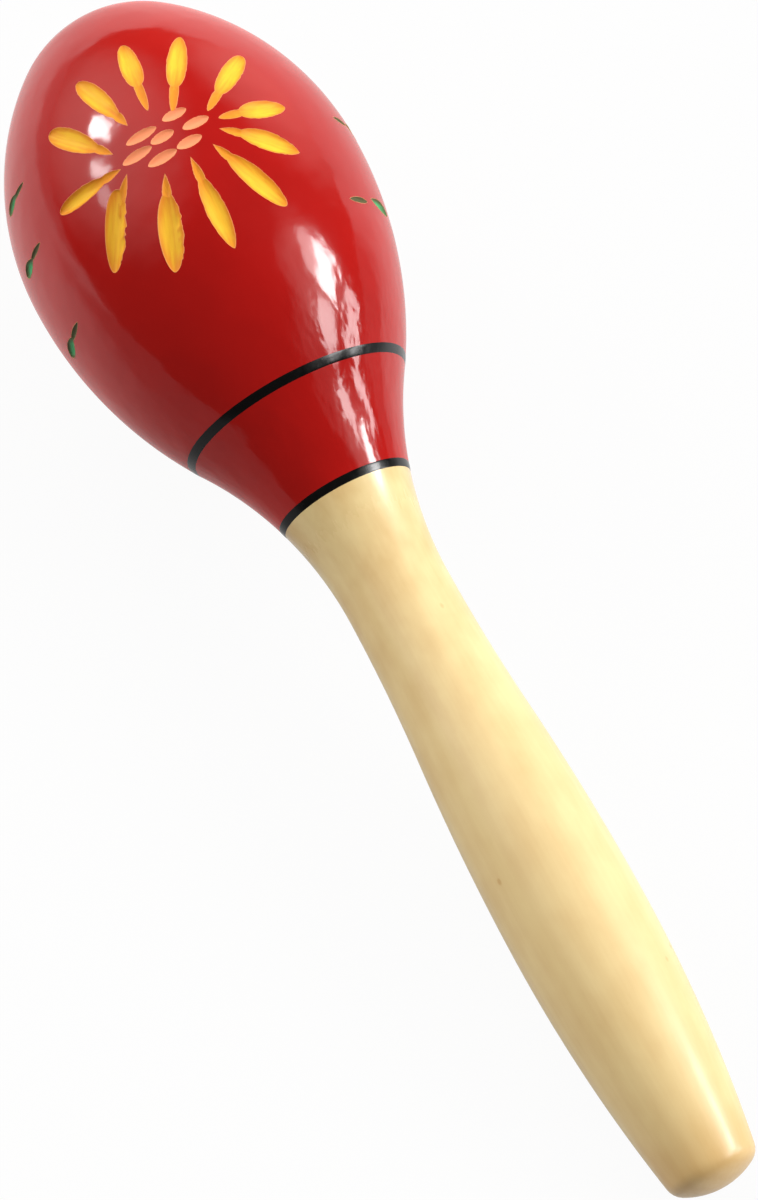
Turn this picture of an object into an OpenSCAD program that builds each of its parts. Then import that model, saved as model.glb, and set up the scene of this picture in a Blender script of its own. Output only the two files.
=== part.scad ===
// Wooden maraca, lying on its side as it rests on a table.
// Each turned piece is drawn about its own axis, with heights from the handle's end to the tip of the head.
// The laid frame has +Z up and +X from head to handle, with its origin on the table under the middle.

/* [Handle] */
// Length of the bare handle, from its domed end to the lower ring
handle_len = 120; // [105:1:140]
// Diameter of the handle at its swell
belly_d = 21.9; // [19:0.1:25]
// Height of the swell above the domed end
belly_y = 45; // [38:1:50]
// Length of the convex run from the swell toward the waist
swell_run = 33; // [26:1:38]
// Diameter of the handle at its waist
waist_d = 17; // [15:0.1:18.5]
// Distance of the waist below the lower ring
waist_drop = 17.5; // [15:0.5:21]
// Radius of the long taper from the swell to the domed end
butt_r = 240; // [210:5:280]
// Radius of the domed end
dome_r = 12; // [11:0.5:15]
// Radius of the eased edge round the domed end
edge_r = 3; // [2:0.25:4]

/* [Head] */
// Length of the head, from the upper ring to its tip
head_len = 74; // [70:0.5:82]
// Outside diameter of the head at its widest section
head_d = 57.2; // [53:0.2:62]
// Length of the crown, from the widest section to the tip
crown_len = 39; // [36:0.5:42]
// Radius of the rounded tip
crown_r = 20.5; // [19:0.5:23]
// Radius of the flank between the widest section and the neck
side_r = 67; // [62:1:72]
// Thickness of the hollowed wall
wall = 5; // [4:0.1:6]

/* [Neck joints] */
// Length of the collar that shows between the two rings
collar_len = 16; // [13:0.5:19]
// Thickness of the lip round the mouth of the head
lip = 5.7; // [4.5:0.1:7]
// Depth of the mouth, from the upper ring to the floor of the hollow
mouth_len = 9; // [7:0.5:11]
// Diameter of the tenon on the handle
tenon_d = 12; // [9:0.5:14]
// Distance that the tenon stops short of the end of the collar's spigot
tenon_relief = 1; // [0.5:0.1:3]
// Glue gap round the tenon and the spigot
glue_gap = 0.08; // [0.04:0.01:0.15]

/* [Rings] */
// Width of each black ring
ring_w = 1.3; // [1:0.1:2.5]
// Depth of the groove that holds a ring
ring_depth = 0.6; // [0.4:0.1:1]
// Gap between the coating and the cut that it fills
coat_gap = 0.04; // [0.02:0.01:0.08]

/* [Carved flower] */
// Distance of the flower's heart from the widest section, toward the tip
flower_up = 4; // [2:0.5:6]
// Turn of the flower round the head from straight up
flower_turn = -7.5; // [-20:0.5:20]
// Distance of a petal's tip from the middle of the heart
petal_reach = 21; // [19:0.5:22]
// Width of a petal's blade
petal_w = 3.5; // [2.8:0.1:4]
// Width of a petal's stalk
stalk_w = 1.4; // [1:0.1:1.8]
// Length of each short stroke in the heart
stamen_len = 4.4; // [3.6:0.1:4.8]
// Width of each short stroke in the heart
stamen_w = 1.8; // [1.4:0.1:2.1]
// Width of a leaf
leaf_w = 2.4; // [1.8:0.1:3]
// Length of a leaf
leaf_len = 6; // [4.5:0.5:7]
// Depth of a blade, leaf or heart stroke below the chord between its ends
gouge_bite = 0.8; // [0.7:0.05:1.2]
// Depth of the colour below the chord of its cut
paint_drop = 0.1; // [0.05:0.05:0.3]

/* [Pellets] */
// Diameter of a rattling pellet
pellet_d = 5; // [3.5:0.25:5.5]
// Space between neighbouring pellets
pellet_space = 0.6; // [0.4:0.1:1]
// Gap between a pellet and the wall that it lies on
pellet_gap = 0.3; // [0.2:0.05:0.5]

/* [Hidden] */
$fn = 360;
deg = 180 / PI;

// Heights of the joints along the axis
seam_low = handle_len;
seam_up = seam_low + collar_len;
total_len = seam_up + head_len;
equator_y = total_len - crown_len;
waist_y = seam_low - waist_drop;
floor_y = seam_up + mouth_len;

head_r = head_d / 2;
belly_r = belly_d / 2;
waist_r = waist_d / 2;
tenon_r = tenon_d / 2;

// Shoulder arc, tangent at the widest section and to the rounded tip
crown_rise = crown_len - crown_r;
shoulder_r = (crown_rise ^ 2 + head_r ^ 2 - crown_r ^ 2) / (2 * (head_r - crown_r));
crown_turn = atan2(crown_rise, shoulder_r - head_r);
shoulder_arc = shoulder_r * crown_turn / deg;

// Hollow arc of the neck, tangent at the waist and to the flank
neck_rise = equator_y - waist_y;
neck_r = (neck_rise ^ 2 + (head_r - waist_r) * (head_r - waist_r - 2 * side_r)) / (2 * (head_r - waist_r));
neck_turn = asin(neck_rise / (side_r + neck_r));

// Grip, two arcs that meet between the swell and the waist
grip_run = waist_y - belly_y;
grip_turn = 2 * atan2(belly_r - waist_r, grip_run);
swell_r = swell_run / sin(grip_turn);
hollow_r = grip_run / sin(grip_turn) - swell_r;

// Centres of the arcs, as distance from the axis and height
crown_c = [0, total_len - crown_r];
shoulder_c = [head_r - shoulder_r, equator_y];
side_c = [head_r - side_r, equator_y];
neck_c = [waist_r + neck_r, waist_y];
hollow_c = [waist_r + hollow_r, waist_y];
swell_c = [belly_r - swell_r, belly_y];
butt_c = [belly_r - butt_r, belly_y];
dome_c = [0, dome_r];

// Eased edge, tangent to the long taper and to the dome
butt_to_dome = dome_c - butt_c;
taper_reach = butt_r - edge_r;
dome_reach = dome_r - edge_r;
dome_away = norm(butt_to_dome);
edge_cos = (taper_reach ^ 2 + dome_away ^ 2 - dome_reach ^ 2) / (2 * taper_reach * dome_away);
edge_turn = atan2(butt_to_dome.y, butt_to_dome.x) - acos(edge_cos);
edge_c = butt_c + taper_reach * [cos(edge_turn), sin(edge_turn)];

// Outside radius of the neck and flank at a height
function outside_r(y) =
    y < equator_y - side_r * sin(neck_turn)
    ? neck_c.x - sqrt(neck_r ^ 2 - (y - waist_y) ^ 2)
    : side_c.x + sqrt(side_r ^ 2 - (y - equator_y) ^ 2);
mouth_r = outside_r(seam_up) - lip;

// Resting place: the flank of the head and the taper of the handle both touch the table
contact_span = side_c - butt_c;
rest_tilt = atan2(contact_span.x, contact_span.y) - asin((butt_r - side_r) / norm(contact_span));
rest_z = side_r + side_c.x * cos(rest_tilt) - side_c.y * sin(rest_tilt);
rest_x = (crown_r + crown_c.y * cos(rest_tilt) - dome_r + dome_c.y * cos(rest_tilt)) / 2;

// Head surface, by the distance along it from the widest section toward the tip
function lean(t) =
    t < 0 ? t / side_r * deg
    : t < shoulder_arc ? t / shoulder_r * deg
    : crown_turn + (t - shoulder_arc) / crown_r * deg;
function girth(t) =
    t < 0 ? side_c.x + side_r * cos(lean(t))
    : t < shoulder_arc ? shoulder_c.x + shoulder_r * cos(lean(t))
    : crown_r * cos(lean(t));
function height(t) =
    t < 0 ? side_c.y + side_r * sin(lean(t))
    : t < shoulder_arc ? shoulder_c.y + shoulder_r * sin(lean(t))
    : crown_c.y + crown_r * sin(lean(t));

// Place on the head and its normal, [toward the tip, round the head] from the flower's heart
function place_t(at) = flower_up + at.x;
function place_turn(at) = flower_turn + at.y / girth(place_t(at)) * deg;
function place(at) =
    let (t = place_t(at), a = place_turn(at))
    [girth(t) * cos(a), girth(t) * sin(a), height(t)];
function place_normal(at) =
    let (b = lean(place_t(at)), a = place_turn(at))
    [cos(b) * cos(a), cos(b) * sin(a), sin(b)];
function unit(v) = v / norm(v);

// Petals as carved by hand: direction of the tip, its share of the reach, and direction of the root
petals = [
    [4, 1.02, -2], [30, 1, 30], [60, 1.02, 70], [92, 1, 87], [116, 1, 106], [144, 0.98, 132],
    [176, 0.93, 160], [204, 0.95, 204], [233, 1.02, 254], [272, 1, 268], [312, 1, 296], [339, 0.98, 335],
];
// Half sizes of the heart's rim, toward the tip and round the head
heart_rim = [5.6, 8.5];
// Share of a petal's length that its blade takes up, and how far the stalk runs in under the blade
blade_share = 0.72;
stalk_overlap = 0.12;
function petal_tip(p) = petal_reach * p[1] * [cos(p[0]), sin(p[0])];
function petal_root(p) = [heart_rim.x * cos(p[2]), heart_rim.y * sin(p[2])];
function along(p, share) = petal_tip(p) * (1 - share) + petal_root(p) * share;

// Heart strokes in three staggered rows, [toward the tip, round the head]
stamen_pitch = [2.5, 5.1];
stamen_shift = [0.7, 0.2];
stamens = [for (row = [[1, 0.5], [1, -0.5], [0, 1], [0, 0], [0, -1], [-1, 0.5], [-1, -0.5]])
    [row.x * stamen_pitch.x, row.y * stamen_pitch.y] + stamen_shift];

// Swing of the gouge past the ends of a stroke, as a share of the stroke
gouge_overrun = 1.4;

// Leaves at the sides: [toward the tip, start of the stalk round the head, way that it runs]
leaves = [[10, -25, -1], [-0.5, -27.5, -1], [-14, -29, -1], [-2.5, 32.5, 1], [-17.5, 24.5, 1]];
leaf_stalk_len = 4.4;
leaf_space = 0.5;
// Drop of a leaf's tip toward the neck over its length
leaf_drop = 1;

// Pellets in a hexagonal bed on the lowest part of the wall
pellet_count = 19;
pellet_pitch = pellet_d + pellet_space;
pellet_inset = wall + pellet_gap + pellet_d / 2;
bed_y = max(equator_y - side_r * sin(rest_tilt), floor_y + pellet_gap + pellet_d / 2 + 2 * pellet_pitch);
function bed_place(k) =
    k == 1 ? [0, 0]
    : k <= 7 ? pellet_pitch * [cos(60 * k), sin(60 * k)]
    : pellet_pitch * (k % 2 == 0 ? 2 : sqrt(3)) * [cos(30 * k), sin(30 * k)];
function pocket_r(y) =
    y < equator_y
    ? side_c.x + sqrt((side_r - pellet_inset) ^ 2 - (y - equator_y) ^ 2)
    : shoulder_c.x + sqrt((shoulder_r - pellet_inset) ^ 2 - (y - equator_y) ^ 2);
function pellet_drop(k) = let (b = bed_place(k)) sqrt(pocket_r(bed_y + b.x) ^ 2 - b.y ^ 2);
function pellet_name(k) = str("pellet_", k < 10 ? "0" : "", k);

// Travel of each pellet from wall to wall, the direction of that travel and the resting place
echo(pellet_travel = [for (k = [1:pellet_count]) 2 * pellet_drop(k)]);
echo(travel_axis = [sin(rest_tilt), 0, cos(rest_tilt)]);
echo(rest_tilt = rest_tilt, rest_x = rest_x, rest_z = rest_z);

module lay() {
    translate([rest_x, 0, rest_z]) rotate([0, rest_tilt - 90, 0]) children();
}

// Turned about the axis, with the start of the sweep on the underside
module turn() {
    rotate([0, 0, 180]) rotate_extrude() children();
}

// Half-section between two heights under a convex arc, and inside a hollow one
module under_arc(lo, hi, centre, r) {
    if (hi > lo) intersection() {
        translate([0, lo]) square([head_r + wall, hi - lo]);
        translate(centre) circle(r);
    }
}

module inside_arc(lo, hi, centre, r) {
    if (hi > lo) difference() {
        translate([0, lo]) square([centre.x, hi - lo]);
        translate(centre) circle(r);
    }
}

// Heights where arcs meet are rounded alike, so that neighbouring bands share an edge
function micron(y) = round(y * 1000) / 1000;

// Half-section of the whole outside between two heights, set inwards by a distance
module outside(from, to, inset = 0) {
    y_dome = micron(dome_c.y + (dome_r - inset) * (edge_c.y - dome_c.y) / dome_reach);
    y_edge = micron(butt_c.y + (butt_r - inset) * sin(edge_turn));
    y_grip = micron(belly_y + (swell_r - inset) * sin(grip_turn));
    y_neck = micron(equator_y - (side_r - inset) * sin(neck_turn));
    y_crown = micron(equator_y + (shoulder_r - inset) * sin(crown_turn));
    under_arc(max(from, inset), min(to, y_dome), dome_c, dome_r - inset);
    under_arc(max(from, y_dome), min(to, y_edge), edge_c, edge_r - inset);
    if (from < y_dome) translate([0, y_dome]) square([edge_c.x, y_edge - y_dome]);
    under_arc(max(from, y_edge), min(to, belly_y), butt_c, butt_r - inset);
    under_arc(max(from, belly_y), min(to, y_grip), swell_c, swell_r - inset);
    inside_arc(max(from, y_grip), min(to, waist_y), hollow_c, hollow_r + inset);
    inside_arc(max(from, waist_y), min(to, y_neck), neck_c, neck_r + inset);
    under_arc(max(from, y_neck), min(to, equator_y), side_c, side_r - inset);
    under_arc(max(from, equator_y), min(to, y_crown), shoulder_c, shoulder_r - inset);
    under_arc(max(from, y_crown), min(to, total_len - inset), crown_c, crown_r - inset);
}

// Section of a ring or of its groove, from its floor to a distance beyond the outside
module ring_section(y, half, depth, beyond = 0) {
    r_lo = outside_r(y - half);
    r_hi = outside_r(y + half);
    polygon([
        [r_lo - depth, y - half], [r_lo + beyond, y - half],
        [r_hi + beyond, y + half], [r_hi - depth, y + half],
    ]);
}

module ring_groove(y) {
    ring_section(y, ring_w / 2, ring_depth, ring_w);
}

module ring(y) {
    color("black") lay() turn() ring_section(y, ring_w / 2 - coat_gap, ring_depth - coat_gap);
}

// Stroke of a round gouge that swings through the head from one place to another.
// The colour lies in the cut up to the chord between its ends, less a gap to the wood.
module stroke(from, to, width, bite, colour) {
    p = place(from);
    q = place(to);
    middle = (p + q) / 2;
    run = unit(q - p);
    lift = place_normal((from + to) / 2);
    out = unit(lift - (lift * run) * run);
    half = norm(q - p) / 2;
    depth = bite + (place((from + to) / 2) - middle) * out;
    swing = (half ^ 2 + bite ^ 2) / (2 * bite);
    sweep = (width ^ 2 / 4 + depth ^ 2) / (2 * depth);
    centre = middle + (swing - bite) * out;
    across = cross(run, out);
    multmatrix([
        [-out.x, run.x, across.x, centre.x],
        [-out.y, run.y, across.y, centre.y],
        [-out.z, run.z, across.z, centre.z],
        [0, 0, 0, 1],
    ])
        if (colour) intersection() {
            gouge(swing, sweep, coat_gap, asin(half / swing));
            translate([swing - bite + paint_drop, -half, -width]) cube([bite, 2 * half, 2 * width]);
        }
        else gouge(swing, sweep, 0, asin(half / swing));
}

// Ring that the edge of a round gouge sweeps, past both ends of its cut
module gouge(swing, sweep, gap, reach) {
    rotate([0, 0, -gouge_overrun * reach])
        rotate_extrude(angle = 2 * gouge_overrun * reach)
            translate([swing - sweep, 0]) circle(sweep - gap, $fn = 180);
}

module petal_cuts(colour = false) {
    for (p = petals) {
        stroke(along(p, blade_share), petal_tip(p), petal_w, gouge_bite, colour);
        stroke(petal_root(p), along(p, blade_share - stalk_overlap), stalk_w, gouge_bite / 2, colour);
    }
}

module stamen_cuts(colour = false) {
    half = [0, stamen_len / 2];
    for (s = stamens) stroke(s - half, s + half, stamen_w, gouge_bite, colour);
}

module leaf_cuts(colour = false) {
    for (leaf = leaves) {
        start = [leaf[0], leaf[1]];
        run = [0, leaf[2]];
        leaf_start = start + (leaf_stalk_len + leaf_space) * run;
        stroke(start, start + leaf_stalk_len * run, stalk_w, gouge_bite / 2, colour);
        stroke(leaf_start, leaf_start + leaf_len * run - [leaf_drop, 0], leaf_w, gouge_bite, colour);
    }
}

module head_shell() {
    color("firebrick") lay() difference() {
        turn() difference() {
            outside(seam_up, total_len);
            outside(floor_y, total_len, wall);
            translate([0, seam_up]) square([mouth_r, mouth_len]);
            ring_groove(seam_up);
        }
        petal_cuts();
        stamen_cuts();
        leaf_cuts();
    }
}

module neck_collar() {
    color("brown") lay() turn() difference() {
        union() {
            outside(seam_low, seam_up);
            translate([0, seam_up]) square([mouth_r - glue_gap, mouth_len - glue_gap]);
        }
        translate([0, seam_low]) square([tenon_r + glue_gap, collar_len + mouth_len]);
        ring_groove(seam_up);
        ring_groove(seam_low);
    }
}

module handle() {
    color("burlywood") lay() turn() {
        difference() {
            outside(0, seam_low);
            ring_groove(seam_low);
        }
        translate([0, waist_y]) square([tenon_r, seam_up + mouth_len - tenon_relief - waist_y]);
    }
}

module ring_upper() {
    ring(seam_up);
}

module ring_lower() {
    ring(seam_low);
}

module flower_petals() {
    color("gold") lay() petal_cuts(colour = true);
}

module flower_stamens() {
    color("orange") lay() stamen_cuts(colour = true);
}

module leaf_strokes() {
    color("seagreen") lay() leaf_cuts(colour = true);
}

module pellet(k) {
    b = bed_place(k);
    color("silver") lay() translate([-pellet_drop(k), b.y, bed_y + b.x]) sphere(d = pellet_d, $fn = 48);
}

head_shell();
neck_collar();
handle();
ring_upper();
ring_lower();
flower_petals();
flower_stamens();
leaf_strokes();
for (k = [1:pellet_count]) pellet(k);
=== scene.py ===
import math
from collections import namedtuple
from functools import partial

import bpy
from bpy.props import FloatProperty, FloatVectorProperty, IntProperty, PointerProperty
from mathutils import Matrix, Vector


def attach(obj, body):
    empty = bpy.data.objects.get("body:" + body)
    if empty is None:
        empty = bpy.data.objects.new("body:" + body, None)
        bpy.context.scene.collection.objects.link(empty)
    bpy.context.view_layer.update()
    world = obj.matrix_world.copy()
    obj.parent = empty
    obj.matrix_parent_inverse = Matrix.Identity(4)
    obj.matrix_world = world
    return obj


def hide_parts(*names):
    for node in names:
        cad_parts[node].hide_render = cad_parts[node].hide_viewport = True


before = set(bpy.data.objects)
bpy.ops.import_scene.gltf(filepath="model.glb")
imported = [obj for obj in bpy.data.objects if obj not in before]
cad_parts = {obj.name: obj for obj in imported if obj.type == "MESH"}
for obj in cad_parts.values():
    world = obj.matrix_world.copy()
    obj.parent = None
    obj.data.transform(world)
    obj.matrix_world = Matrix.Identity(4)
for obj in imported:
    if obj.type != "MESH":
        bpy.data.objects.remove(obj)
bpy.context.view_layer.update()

bl_info = {
    "name": "Wooden Maraca",
    "version": (1, 0, 0),
    "blender": (4, 5, 0),
    "location": "3D View > Sidebar > Maraca",
    "description": "Turns, carves and paints a wooden maraca, and sets it on a studio table",
    "category": "Object",
}

MM = 0.001
BODY = "maraca"


# Properties

def length(name, description, millimetres):
    """A length property, given in millimetres and kept in metres."""
    return FloatProperty(name=name, description=description, default=millimetres * MM, unit="LENGTH")


def angle(name, description, degrees):
    """An angle property, given in degrees and kept in radians."""
    return FloatProperty(name=name, description=description, default=math.radians(degrees), subtype="ANGLE")


def linear(code):
    """Linear colour of an sRGB hex code, with full alpha."""
    channels = [int(code[i:i + 2], 16) / 255 for i in (0, 2, 4)]
    return [c / 12.92 if c <= 0.04045 else ((c + 0.055) / 1.055) ** 2.4 for c in channels] + [1.0]


def colour(name, description, code):
    """A colour property, given as an sRGB hex code."""
    return FloatVectorProperty(
        name=name, description=description, default=linear(code), subtype="COLOR", size=4)


class MaracaSizes(bpy.types.PropertyGroup):
    """Sizes of the turned, carved and painted pieces"""
    handle_len: length("Handle length", "Bare handle, from its domed end to the lower ring", 120)
    belly_d: length("Swell diameter", "Handle at its swell", 21.9)
    belly_y: length("Swell height", "Height of the swell above the domed end", 45)
    swell_run: length("Swell run", "Convex run from the swell toward the waist", 33)
    waist_d: length("Waist diameter", "Handle at its waist", 17)
    waist_drop: length("Waist drop", "Distance of the waist below the lower ring", 17.5)
    butt_r: length("Taper radius", "Long taper from the swell to the domed end", 240)
    dome_r: length("Dome radius", "Domed end of the handle", 12)
    edge_r: length("Edge radius", "Eased edge round the domed end", 3)
    head_len: length("Head length", "From the upper ring to the tip", 74)
    head_d: length("Head diameter", "Head at its widest section", 57.2)
    crown_len: length("Crown length", "From the widest section to the tip", 39)
    crown_r: length("Tip radius", "Rounded tip of the head", 20.5)
    side_r: length("Flank radius", "Flank between the widest section and the neck", 67)
    wall: length("Wall", "Thickness of the hollowed head", 5)
    collar_len: length("Collar length", "Collar that shows between the rings", 16)
    lip: length("Lip", "Thickness round the mouth of the head", 5.7)
    mouth_len: length("Mouth depth", "From the upper ring to the floor of the hollow", 9)
    tenon_d: length("Tenon diameter", "Tenon on the handle", 12)
    tenon_relief: length("Tenon relief", "How far the tenon stops short of the spigot's end", 1)
    glue_gap: length("Glue gap", "Gap round the tenon and the spigot", 0.08)
    ring_w: length("Ring width", "Width of each black ring", 1.3)
    ring_depth: length("Ring depth", "Depth of a ring's groove", 0.6)
    ring_crown: length("Ring crown", "How far the enamel of a ring stands proud", 0.03)
    flower_up: length("Flower height", "Heart of the flower above the widest section", 4)
    flower_turn: angle("Flower turn", "Turn of the flower round the head from straight up", -7.5)
    petal_reach: length("Petal reach", "Distance of a petal's tip from the heart", 21)
    stalk_w: length("Stalk width", "Width of a petal's stalk", 1.5)
    stamen_w: length("Stamen width", "Width of each short stroke in the heart", 1.8)
    leaf_w: length("Leaf width", "Width of a leaf", 2.2)
    leaf_stalk_w: length("Leaf stalk width", "Width of a leaf's stalk", 1.1)
    bite: length("Bite", "Depth of a full stroke below the lacquer", 0.7)
    film: length("Paint film", "Thickness of the enamel in a stroke", 0.06)


class MaracaColours(bpy.types.PropertyGroup):
    """Colours of the finishes"""
    lacquer: colour("Lacquer", "Red lacquer of the head and collar", "AE1310")
    wood: colour("Wood", "Pale turned wood under varnish", "F1D89D")
    wood_dark: colour("Wood grain", "Darker growth of the turned wood", "DCB678")
    ring: colour("Ring", "Black enamel of the rings", "0B0A0A")
    petal: colour("Petal", "Yellow enamel in the middle of a petal", "FFC630")
    petal_edge: colour("Petal edge", "Orange where the enamel thins toward its edge", "EE9422")
    stamen: colour("Stamen", "Orange enamel of the heart", "FFA070")
    leaf: colour("Leaf", "Green enamel of a leaf", "4DB574")
    leaf_stalk: colour("Leaf stalk", "Dark green where a stalk is thinly painted", "5C5A36")
    rim: colour("Rim", "Pale rim where the cut shows through", "F0A070")
    shot: colour("Shot", "Steel shot", "A9A9AB")
    table: colour("Table", "White table top", "D2D2D2")


class MaracaStage(bpy.types.PropertyGroup):
    """Camera and quality of the stage"""
    azimuth: angle("Azimuth", "Way that the camera looks from, round the table", 62.1)
    elevation: angle("Elevation", "Height of the camera above the table", 65.5)
    distance: length("Distance", "Camera to the middle of the maraca", 630)
    lens: FloatProperty(name="Lens", description="Focal length in millimetres", default=122.9, unit="CAMERA")
    aside: length("Aside", "How far the maraca's middle lies to the right of the picture's middle", 1.92)
    above: length("Above", "How far the maraca's middle lies above the picture's middle", 2.63)
    segments: IntProperty(name="Segments", description="Facets round a turned piece", default=192, min=48)
    row: length("Row", "Length of a facet along a turned piece", 0.7)


# Outline of the turned pieces, as arcs from the end of the handle to the tip of the head

Arc = namedtuple("Arc", "low high centre_r centre_y radius side")
Form = namedtuple("Form", "arcs seam_low seam_up total floor tilt rest_x rest_z")


def form_of(z):
    """Arcs of the outside and the place where the maraca rests, from the sizes."""
    seam_low = z.handle_len
    seam_up = seam_low + z.collar_len
    total = seam_up + z.head_len
    equator = total - z.crown_len
    waist_y = seam_low - z.waist_drop
    head_r, belly_r, waist_r = z.head_d / 2, z.belly_d / 2, z.waist_d / 2
    rise = z.crown_len - z.crown_r
    shoulder_r = (rise ** 2 + head_r ** 2 - z.crown_r ** 2) / (2 * (head_r - z.crown_r))
    crown_turn = math.atan2(rise, shoulder_r - head_r)
    flare = head_r - waist_r
    neck_r = ((equator - waist_y) ** 2 + flare * (flare - 2 * z.side_r)) / (2 * flare)
    neck_turn = math.asin((equator - waist_y) / (z.side_r + neck_r))
    grip_run = waist_y - z.belly_y
    grip_turn = 2 * math.atan2(belly_r - waist_r, grip_run)
    swell_r = z.swell_run / math.sin(grip_turn)
    hollow_r = grip_run / math.sin(grip_turn) - swell_r
    butt_c = Vector((belly_r - z.butt_r, z.belly_y))
    reach, dome_reach = z.butt_r - z.edge_r, z.dome_r - z.edge_r
    to_dome = Vector((0, z.dome_r)) - butt_c
    edge_cos = (reach ** 2 + to_dome.length_squared - dome_reach ** 2) / (2 * reach * to_dome.length)
    edge_turn = math.atan2(to_dome.y, to_dome.x) - math.acos(edge_cos)
    edge_c = butt_c + reach * Vector((math.cos(edge_turn), math.sin(edge_turn)))
    y_dome = z.dome_r + z.dome_r * (edge_c.y - z.dome_r) / dome_reach
    y_edge = butt_c.y + z.butt_r * math.sin(edge_turn)
    y_grip = z.belly_y + z.swell_run
    y_neck = equator - z.side_r * math.sin(neck_turn)
    y_crown = equator + shoulder_r * math.sin(crown_turn)
    arcs = [
        Arc(0, y_dome, 0, z.dome_r, z.dome_r, 1),
        Arc(y_dome, y_edge, edge_c.x, edge_c.y, z.edge_r, 1),
        Arc(y_edge, z.belly_y, butt_c.x, butt_c.y, z.butt_r, 1),
        Arc(z.belly_y, y_grip, belly_r - swell_r, z.belly_y, swell_r, 1),
        Arc(y_grip, waist_y, waist_r + hollow_r, waist_y, hollow_r, -1),
        Arc(waist_y, y_neck, waist_r + neck_r, waist_y, neck_r, -1),
        Arc(y_neck, equator, head_r - z.side_r, equator, z.side_r, 1),
        Arc(equator, y_crown, head_r - shoulder_r, equator, shoulder_r, 1),
        Arc(y_crown, total, 0, total - z.crown_r, z.crown_r, 1),
    ]
    span = Vector((head_r - z.side_r, equator)) - butt_c
    tilt = math.atan2(span.x, span.y) - math.asin((z.butt_r - z.side_r) / span.length)
    rest_z = z.side_r + (head_r - z.side_r) * math.cos(tilt) - equator * math.sin(tilt)
    tip_side = z.crown_r + (total - z.crown_r) * math.cos(tilt)
    rest_x = (tip_side - z.dome_r + z.dome_r * math.cos(tilt)) / 2
    return Form(arcs, seam_low, seam_up, total, seam_up + z.mouth_len, tilt, rest_x, rest_z)


def lay(form, x, y, s):
    """World place of a point given across, aside and along the maraca's axis."""
    c, n = math.cos(form.tilt), math.sin(form.tilt)
    return Vector((x * n - s * c + form.rest_x, y, x * c + s * n + form.rest_z))


def lay_way(form, x, y, s):
    """World direction of a direction given across, aside and along the axis."""
    return lay(form, x, y, s) - lay(form, 0, 0, 0)


def unlay(form, place):
    """Across, aside and along the axis, of a world place."""
    c, n = math.cos(form.tilt), math.sin(form.tilt)
    dx, dz = place.x - form.rest_x, place.z - form.rest_z
    return Vector((dx * n + dz * c, place.y, dz * n - dx * c))


def axis_start(form):
    """Place of the handle's end along a coordinate that is turned to lie along the axis."""
    return form.rest_x * math.cos(form.tilt) - form.rest_z * math.sin(form.tilt)


def radius_at(form, s, inset=0):
    """Outside radius at a height along the axis, set inwards by a distance."""
    for arc in form.arcs:
        if arc.low <= s <= arc.high:
            r = arc.radius - arc.side * inset
            return arc.centre_r + arc.side * math.sqrt(max(0, r ** 2 - (s - arc.centre_y) ** 2))
    return 0


# Turn and distance below which two points of an outline are one
NO_TURN = 1e-9
NO_GAP = 1e-7


def run(form, start, end, row, inset=0):
    """Points of the outside between two heights, as radius and height, in steps of about one row."""
    points = []
    for arc in form.arcs:
        r = arc.radius - arc.side * inset
        turns = [math.asin(max(-1, min(1, (s - arc.centre_y) / arc.radius))) for s in (arc.low, arc.high)]
        low = max(turns[0], math.asin(max(-1, min(1, (start - arc.centre_y) / r))))
        high = min(turns[1], math.asin(max(-1, min(1, (end - arc.centre_y) / r))))
        if high - low < NO_TURN:
            continue
        steps = max(2, math.ceil(r * (high - low) / row))
        for k in range(steps + 1):
            turn = low + (high - low) * k / steps
            points.append((arc.centre_r + arc.side * r * math.cos(turn), arc.centre_y + r * math.sin(turn)))
    return [p for k, p in enumerate(points) if k == 0 or math.dist(p, points[k - 1]) > NO_GAP]


def chain(corners, row):
    """Corners of a section, with points between them in steps of about one row."""
    points = []
    for a, b in zip(corners, corners[1:]):
        steps = max(1, math.ceil(math.dist(a, b) / row))
        points += [
            (a[0] + (b[0] - a[0]) * k / steps, a[1] + (b[1] - a[1]) * k / steps) for k in range(steps)]
    return points + corners[-1:]


# Modelling

# Distance that merges points, and angles past which an edge of a turned piece or of enamel stays sharp
WELD = 0.002 * MM
SHARP = math.radians(30)
FILM_SHARP = math.radians(40)


def start_piece():
    """Leaves edit mode and deselects everything, ready for a new primitive."""
    if bpy.context.object and bpy.context.object.mode != "OBJECT":
        bpy.ops.object.mode_set(mode="OBJECT")
    bpy.ops.object.select_all(action="DESELECT")


def pick(*pieces):
    """Selects only these pieces, with the first one active."""
    start_piece()
    for piece in pieces:
        piece.select_set(True)
    bpy.context.view_layer.objects.active = pieces[0]


def facing(way):
    """Rotation that turns the top of a disc, or the back of a lamp or camera, toward a direction."""
    return way.to_track_quat("Z", "Y").to_euler()


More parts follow.
